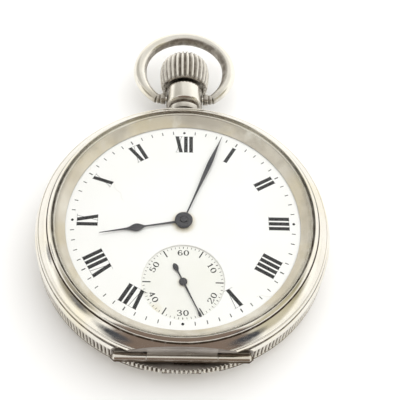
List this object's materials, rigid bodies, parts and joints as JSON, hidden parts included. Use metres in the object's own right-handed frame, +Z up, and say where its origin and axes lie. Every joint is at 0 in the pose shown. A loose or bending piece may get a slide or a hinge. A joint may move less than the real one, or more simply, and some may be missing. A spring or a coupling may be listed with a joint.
{
  "type": "open face pocket watch",
  "caption": "Open face pocket watch: silver case with hinged bezel and back, round bow, fluted crown, white enamel dial with Roman hours and sunk seconds, keyless lever movement.",
  "frame": {"origin": "middle of the flat in the centre of the back cover, where the watch lies on a table", "axes": "+Z up out of the dial, +Y towards 12 o'clock, the pendant and the bow, +X towards 3 o'clock"},
  "size_m": [0.051, 0.0721, 0.0137],
  "materials": {
    "silver": "polished silver with age and fine wear",
    "steel": "polished steel",
    "blued_steel": "blued to near black",
    "gilt": "frosted gilding",
    "brass": "polished",
    "enamel": "glossy white enamel",
    "ruby": "polished",
    "glass": "polished watch glass"
  },
  "bodies": {
    "case": {"back_hinge_pin": "steel", "balance_cock": "gilt", "balance_cock_screw": "blued_steel", "balance_jewel": "ruby", "barrel_bridge": "gilt", "barrel_bridge_screw_1": "blued_steel", "barrel_bridge_screw_2": "blued_steel", "barrel_bridge_screw_3": "blued_steel", "bezel_hinge_pin": "steel", "case_band": "silver", "case_screw_1": "blued_steel", "case_screw_2": "blued_steel", "dial": "enamel", "escape_jewel": "ruby", "fourth_jewel": "ruby", "main_plate": "gilt", "pallet_cock": "steel", "pendant": "silver", "third_jewel": "ruby", "train_bridge": "gilt", "train_bridge_screw_1": "blued_steel", "train_bridge_screw_2": "blued_steel", "train_bridge_screw_3": "blued_steel"},
    "bezel": {"bezel": "silver", "crystal": "glass"},
    "back": {"back_cover": "silver"},
    "bow": {"bow": "silver"},
    "winding": {"winding_pinion": "steel", "clutch": "steel"},
    "crown": {"crown": "silver", "stem": "steel"},
    "minute": {"centre_wheel": "brass", "cannon_pinion": "steel", "minute_hand": "blued_steel"},
    "hour": {"hour_wheel": "brass", "hour_hand": "blued_steel"},
    "minute_wheel": {"minute_wheel": "brass"},
    "third": {"third_wheel": "brass"},
    "seconds": {"fourth_wheel": "brass", "seconds_hand": "blued_steel"},
    "escape": {"escape_wheel": "steel"},
    "pallets": {"pallet_fork": "steel"},
    "balance": {"balance_wheel": "brass", "hairspring": "blued_steel"},
    "barrel": {"barrel": "brass", "barrel_lid": "brass", "mainspring": "steel"},
    "ratchet": {"ratchet_wheel": "steel"},
    "crown_wheel": {"crown_wheel": "steel"},
    "click": {"click": "steel"}
  },
  "joints": [
    {"name": "bezel_hinge", "type": "hinge", "parent": "case", "child": "bezel", "pos_m": [0, -0.0236, 0.00665], "axis": [1, 0, 0], "range_deg": [0, 90]},
    {"name": "back_hinge", "type": "hinge", "parent": "case", "child": "back", "pos_m": [0, -0.02475, 0.00395], "axis": [-1, 0, 0], "range_deg": [0, 95]},
    {"name": "bow_swing", "type": "hinge", "parent": "case", "child": "bow", "pos_m": [0, 0.02964, 0.0061], "axis": [1, 0, 0], "range_deg": [-120, 120]},
    {"name": "crown_turn", "type": "hinge", "parent": "case", "child": "winding", "pos_m": [0, 0.0173, 0.0061], "axis": [0, 1, 0], "continuous": true},
    {"name": "crown_pull", "type": "slide", "parent": "winding", "child": "crown", "axis": [0, 1, 0], "range_m": [0, 0.001]},
    {"name": "minute_turn", "type": "hinge", "parent": "case", "child": "minute", "pos_m": [0, 0, 0.0094], "axis": [0, 0, -1], "continuous": true},
    {"name": "hour_turn", "type": "hinge", "parent": "case", "child": "hour", "pos_m": [0, 0, 0.0094], "axis": [0, 0, -1], "continuous": true},
    {"name": "minute_wheel_turn", "type": "hinge", "parent": "case", "child": "minute_wheel", "pos_m": [0.00183, 0.00316, 0.0079], "axis": [0, 0, -1], "continuous": true},
    {"name": "third_turn", "type": "hinge", "parent": "case", "child": "third", "pos_m": [0.00519, -0.00686, 0.0054], "axis": [0, 0, -1], "continuous": true},
    {"name": "seconds_turn", "type": "hinge", "parent": "case", "child": "seconds", "pos_m": [0, -0.0114, 0.0094], "axis": [0, 0, -1], "continuous": true},
    {"name": "escape_turn", "type": "hinge", "parent": "case", "child": "escape", "pos_m": [-0.00535, -0.00925, 0.0054], "axis": [0, 0, -1], "continuous": true},
    {"name": "barrel_turn", "type": "hinge", "parent": "case", "child": "barrel", "pos_m": [-0.0056, 0.00816, 0.0049], "axis": [0, 0, -1], "continuous": true},
    {"name": "pallet_rock", "type": "hinge", "parent": "case", "child": "pallets", "pos_m": [-0.00841, -0.00802, 0.0052], "axis": [0, 0, -1], "range_deg": [-5, 5]},
    {"name": "balance_swing", "type": "hinge", "parent": "case", "child": "balance", "pos_m": [-0.0122, -0.0065, 0.0042], "axis": [0, 0, -1], "range_deg": [-270, 270]},
    {"name": "crown_wheel_turn", "type": "hinge", "parent": "case", "child": "crown_wheel", "pos_m": [0, 0.01424, 0.0038], "axis": [0, 0, -1], "continuous": true},
    {"name": "ratchet_turn", "type": "hinge", "parent": "case", "child": "ratchet", "pos_m": [-0.0056, 0.00816, 0.0038], "axis": [0, 0, -1], "continuous": true},
    {"name": "click_lift", "type": "hinge", "parent": "case", "child": "click", "pos_m": [-0.0109, 0.01326, 0.0038], "axis": [0, 0, -1], "range_deg": [0, 10]}
  ],
  "couplings": [
    {"joint": "hour_turn", "follows": "minute_turn", "ratio": 0.083333},
    {"joint": "minute_wheel_turn", "follows": "minute_turn", "ratio": -0.33333},
    {"joint": "third_turn", "follows": "minute_turn", "ratio": -8},
    {"joint": "seconds_turn", "follows": "minute_turn", "ratio": 60},
    {"joint": "escape_turn", "follows": "minute_turn", "ratio": -600},
    {"joint": "barrel_turn", "follows": "minute_turn", "ratio": -0.15385},
    {"joint": "crown_wheel_turn", "follows": "crown_turn", "ratio": -0.625},
    {"joint": "ratchet_turn", "follows": "crown_turn", "ratio": 0.4}
  ]
}
